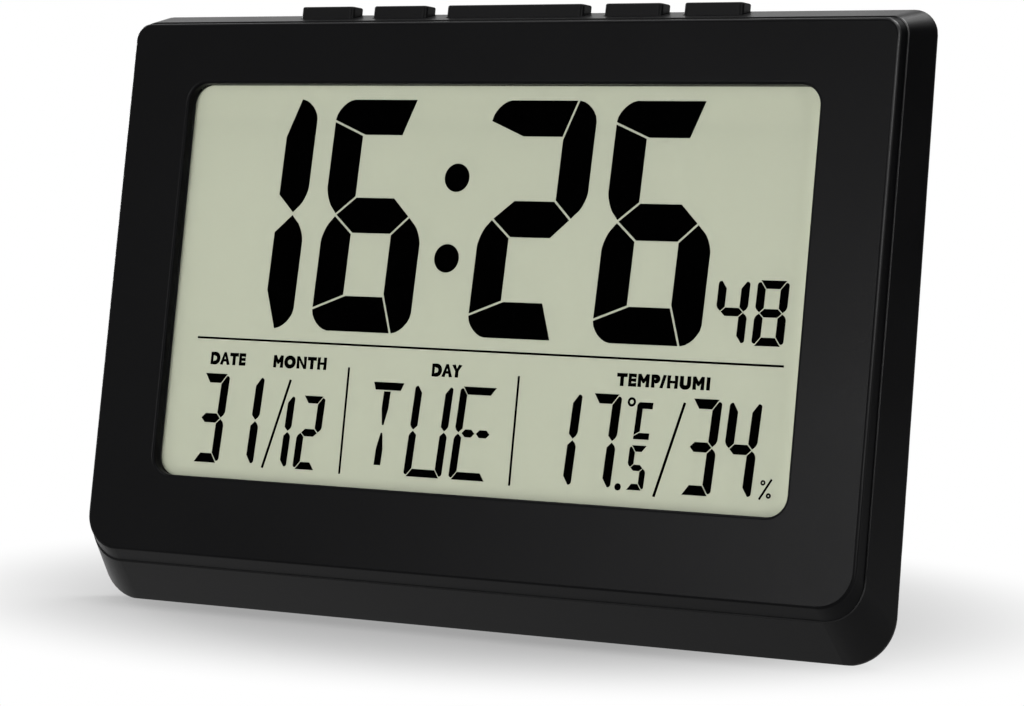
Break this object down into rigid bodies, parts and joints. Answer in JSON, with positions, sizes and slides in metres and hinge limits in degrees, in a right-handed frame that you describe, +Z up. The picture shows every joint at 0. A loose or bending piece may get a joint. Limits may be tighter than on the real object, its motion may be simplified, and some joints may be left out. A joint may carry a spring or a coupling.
{
  "type": "digital clock",
  "caption": "Black digital clock that leans back on a fold-out stand, with a large liquid crystal display, push buttons on top, a sliding battery door and a wall keyhole.",
  "frame": {"origin": "on the floor, under the middle of the standing clock's box", "axes": "+X to the right of the person who looks at the display, +Y from the display to the back, +Z up"},
  "size_m": [0.2088, 0.049, 0.1427],
  "materials": {
    "case_plastic": "fine moulded texture, black",
    "button_plastic": "satin black",
    "door_plastic": "fine moulded texture, black",
    "stand_plastic": "fine moulded texture, black",
    "lens_acrylic": "clear, polished",
    "gasket_foam": "black foam",
    "display_film": "greenish grey, matt front",
    "display_glass": "display glass",
    "reflector_foil": "silver, brushed",
    "holder_plastic": "natural white",
    "contact_rubber": "layered",
    "circuit_board": "solder mask, green",
    "chip_resin": "black resin",
    "crystal_can": "tinned",
    "capacitor_can": "sleeved",
    "sensor_plastic": "white",
    "switch_plastic": "black",
    "flat_cable": "white film",
    "buzzer_brass": "plain",
    "cell_sleeve": "printed sleeve, plain",
    "contact_metal": "nickel plated",
    "screw_steel": "zinc plated",
    "lead_wire": "insulated wire"
  },
  "bodies": {
    "case": {"battery_1": "cell_sleeve", "battery_2": "cell_sleeve", "battery_leads": "lead_wire", "battery_link": "contact_metal", "battery_minus_contact": "contact_metal", "battery_plus_contact": "contact_metal", "board_screws": "screw_steel", "buzzer": "buzzer_brass", "buzzer_leads": "lead_wire", "case_screws": "screw_steel", "climate_sensor": "sensor_plastic", "controller_chip": "chip_resin", "display_gasket": "gasket_foam", "display_lens": "lens_acrylic", "filter_capacitor": "capacitor_can", "front_cover": "case_plastic", "holder_screws": "screw_steel", "key_board": "circuit_board", "key_cable": "flat_cable", "key_switches": "switch_plastic", "lcd_front_glass": "display_glass", "lcd_holder": "holder_plastic", "lcd_polarizer": "display_film", "lcd_rear_glass": "display_glass", "lcd_reflector": "reflector_foil", "main_board": "circuit_board", "quartz_crystal": "crystal_can", "rear_cover": "case_plastic", "zebra_strip": "contact_rubber"},
    "button_1": {"button_1": "button_plastic", "plunger_1": "switch_plastic"},
    "button_2": {"button_2": "button_plastic", "plunger_2": "switch_plastic"},
    "button_3": {"button_3": "button_plastic", "plunger_3": "switch_plastic"},
    "button_4": {"button_4": "button_plastic", "plunger_4": "switch_plastic"},
    "button_5": {"button_5": "button_plastic", "plunger_5": "switch_plastic"},
    "door": {"battery_door": "door_plastic"},
    "stand": {"fold_stand": "stand_plastic"}
  },
  "joints": [
    {"name": "button_1_press", "type": "slide", "parent": "case", "child": "button_1", "axis": [0, -0.184, -0.9829], "range_m": [0, 0.0005], "stiffness_N_per_m": 600, "springref_m": -0.0005},
    {"name": "button_2_press", "type": "slide", "parent": "case", "child": "button_2", "axis": [0, -0.184, -0.9829], "range_m": [0, 0.0005], "stiffness_N_per_m": 600, "springref_m": -0.0005},
    {"name": "button_3_press", "type": "slide", "parent": "case", "child": "button_3", "axis": [0, -0.184, -0.9829], "range_m": [0, 0.0005], "stiffness_N_per_m": 600, "springref_m": -0.0005},
    {"name": "button_4_press", "type": "slide", "parent": "case", "child": "button_4", "axis": [0, -0.184, -0.9829], "range_m": [0, 0.0005], "stiffness_N_per_m": 600, "springref_m": -0.0005},
    {"name": "button_5_press", "type": "slide", "parent": "case", "child": "button_5", "axis": [0, -0.184, -0.9829], "range_m": [0, 0.0005], "stiffness_N_per_m": 600, "springref_m": -0.0005},
    {"name": "door_slide", "type": "slide", "parent": "case", "child": "door", "axis": [1, 0, 0], "range_m": [0, 0.034]},
    {"name": "stand_fold", "type": "hinge", "parent": "case", "child": "stand", "pos_m": [0, 0.01131, 0.06399], "axis": [-1, 0, 0], "range_deg": [0, 20]}
  ]
}
